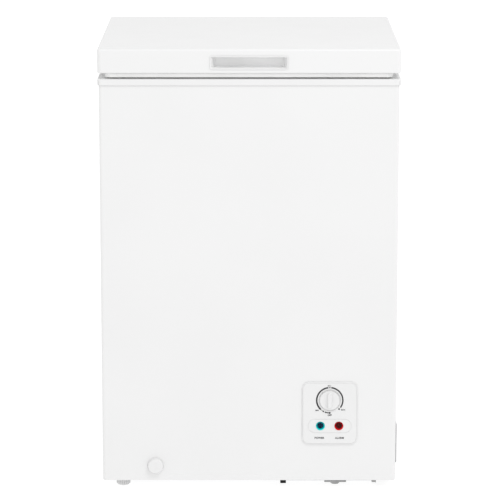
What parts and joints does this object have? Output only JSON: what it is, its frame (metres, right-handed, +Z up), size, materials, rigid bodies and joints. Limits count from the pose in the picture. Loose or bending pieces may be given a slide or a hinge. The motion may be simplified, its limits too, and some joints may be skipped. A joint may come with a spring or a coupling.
{
  "type": "chest freezer",
  "caption": "Compact white chest freezer with a sprung lift-up lid, recessed grip, dial thermostat, indicator lamps, sliding basket and a front drain.",
  "frame": {"origin": "on the floor, at the centre of the overall width and depth, dial and hinges included", "axes": "+X to the right seen from the front, +Y to the back, +Z up"},
  "size_m": [0.569, 0.5444, 0.85],
  "materials": {
    "outer_shell": "satin white enamel",
    "back_panel": "satin white enamel",
    "bottom_panel": "galvanised",
    "inner_liner": "embossed, white coated",
    "insulation_foam": "rigid polyurethane foam, matt",
    "top_collar": "satin white",
    "condenser_coil": "zinc-coated steel tube",
    "evaporator_coil": "bare tube",
    "compressor_base_plate": "galvanised",
    "compressor": "black enamel",
    "compressor_grommet_1": "matt black",
    "compressor_grommet_2": "matt black",
    "compressor_grommet_3": "matt black",
    "compressor_grommet_4": "matt black",
    "terminal_cover": "matt black",
    "suction_pipe": "copper tube",
    "discharge_pipe": "copper tube",
    "filter_drier": "copper",
    "capillary_tube": "copper tube",
    "rear_cover": "satin white enamel",
    "cord_gland": "matt black",
    "side_vent_grille": "satin white",
    "mains_wiring": "matt black sleeve",
    "control_wiring": "matt black sleeve",
    "control_panel": "satin white",
    "control_box": "natural white",
    "thermostat_body": "plated",
    "thermostat_sensor_line": "copper tube",
    "lamp_housing": "natural white",
    "power_lamp": "translucent blue-green lens",
    "alarm_lamp": "translucent red lens",
    "drain_tube": "natural white",
    "drain_escutcheon": "satin white",
    "foot_front_right": "mid grey",
    "foot_rear_right": "mid grey",
    "hinge_bracket_left": "galvanised",
    "hinge_bracket_right": "galvanised",
    "hinge_pin_left": "spring steel",
    "hinge_pin_right": "spring steel",
    "hinge_spring_left": "spring steel",
    "hinge_spring_right": "spring steel",
    "lid_shell": "satin white enamel",
    "lid_foam": "rigid polyurethane foam, matt",
    "lid_liner": "satin white",
    "lid_gasket": "matt light grey",
    "handle_bezel": "satin white",
    "handle_cup": "satin light grey",
    "hinge_arm_left": "galvanised",
    "hinge_arm_right": "galvanised",
    "basket": "white plastic-coated wire",
    "thermostat_shaft": "natural white",
    "thermostat_knob": "satin white",
    "drain_sleeve": "natural white",
    "drain_dial": "satin white",
    "liner_drain_plug": "white",
    "foot_front_left": "mid grey",
    "foot_rear_left": "mid grey"
  },
  "bodies": {
    "cabinet": {"outer_shell": "outer_shell", "back_panel": "back_panel", "bottom_panel": "bottom_panel", "inner_liner": "inner_liner", "insulation_foam": "insulation_foam", "top_collar": "top_collar", "condenser_coil": "condenser_coil", "evaporator_coil": "evaporator_coil", "compressor_base_plate": "compressor_base_plate", "compressor": "compressor", "compressor_grommet_1": "compressor_grommet_1", "compressor_grommet_2": "compressor_grommet_2", "compressor_grommet_3": "compressor_grommet_3", "compressor_grommet_4": "compressor_grommet_4", "terminal_cover": "terminal_cover", "suction_pipe": "suction_pipe", "discharge_pipe": "discharge_pipe", "filter_drier": "filter_drier", "capillary_tube": "capillary_tube", "rear_cover": "rear_cover", "cord_gland": "cord_gland", "side_vent_grille": "side_vent_grille", "mains_wiring": "mains_wiring", "control_wiring": "control_wiring", "control_panel": "control_panel", "control_box": "control_box", "thermostat_body": "thermostat_body", "thermostat_sensor_line": "thermostat_sensor_line", "lamp_housing": "lamp_housing", "power_lamp": "power_lamp", "alarm_lamp": "alarm_lamp", "drain_tube": "drain_tube", "drain_escutcheon": "drain_escutcheon", "foot_front_right": "foot_front_right", "foot_rear_right": "foot_rear_right", "hinge_bracket_left": "hinge_bracket_left", "hinge_bracket_right": "hinge_bracket_right", "hinge_pin_left": "hinge_pin_left", "hinge_pin_right": "hinge_pin_right", "hinge_spring_left": "hinge_spring_left", "hinge_spring_right": "hinge_spring_right"},
    "lid": {"lid_shell": "lid_shell", "lid_foam": "lid_foam", "lid_liner": "lid_liner", "lid_gasket": "lid_gasket", "handle_bezel": "handle_bezel", "handle_cup": "handle_cup", "hinge_arm_left": "hinge_arm_left", "hinge_arm_right": "hinge_arm_right"},
    "basket": {"basket": "basket"},
    "thermostat_dial": {"thermostat_shaft": "thermostat_shaft", "thermostat_knob": "thermostat_knob"},
    "drain_outlet": {"drain_sleeve": "drain_sleeve"},
    "drain_cap": {"drain_dial": "drain_dial"},
    "drain_plug": {"liner_drain_plug": "liner_drain_plug"},
    "front_levelling_foot": {"foot_front_left": "foot_front_left"},
    "rear_levelling_foot": {"foot_rear_left": "foot_rear_left"}
  },
  "joints": [
    {"name": "lid_hinge", "type": "hinge", "parent": "cabinet", "child": "lid", "pos_m": [0, 0.26525, 0.8], "axis": [-1, 0, 0], "range_deg": [0, 80], "deforming": ["hinge_spring_left", "hinge_spring_right"]},
    {"name": "basket_slide", "type": "slide", "parent": "cabinet", "child": "basket", "axis": [1, 0, 0], "range_m": [0, 0.228]},
    {"name": "thermostat_turn", "type": "hinge", "parent": "cabinet", "child": "thermostat_dial", "pos_m": [0.1543, -0.26255, 0.1747], "axis": [0, 1, 0], "range_deg": [-180, 135]},
    {"name": "drain_pull", "type": "slide", "parent": "cabinet", "child": "drain_outlet", "axis": [0, -1, 0], "range_m": [0, 0.025]},
    {"name": "drain_cap_turn", "type": "hinge", "parent": "drain_outlet", "child": "drain_cap", "pos_m": [-0.18, -0.25975, 0.0445], "axis": [0, 1, 0], "range_deg": [0, 180]},
    {"name": "drain_plug_lift", "type": "slide", "parent": "cabinet", "child": "drain_plug", "axis": [0, 0, 1], "range_m": [0, 0.05]},
    {"name": "front_foot_turn", "type": "hinge", "parent": "cabinet", "child": "front_levelling_foot", "pos_m": [-0.243, -0.23375, 0], "axis": [0, 0, 1], "continuous": true},
    {"name": "rear_foot_turn", "type": "hinge", "parent": "cabinet", "child": "rear_levelling_foot", "pos_m": [-0.243, 0.22925, 0], "axis": [0, 0, 1], "continuous": true}
  ]
}
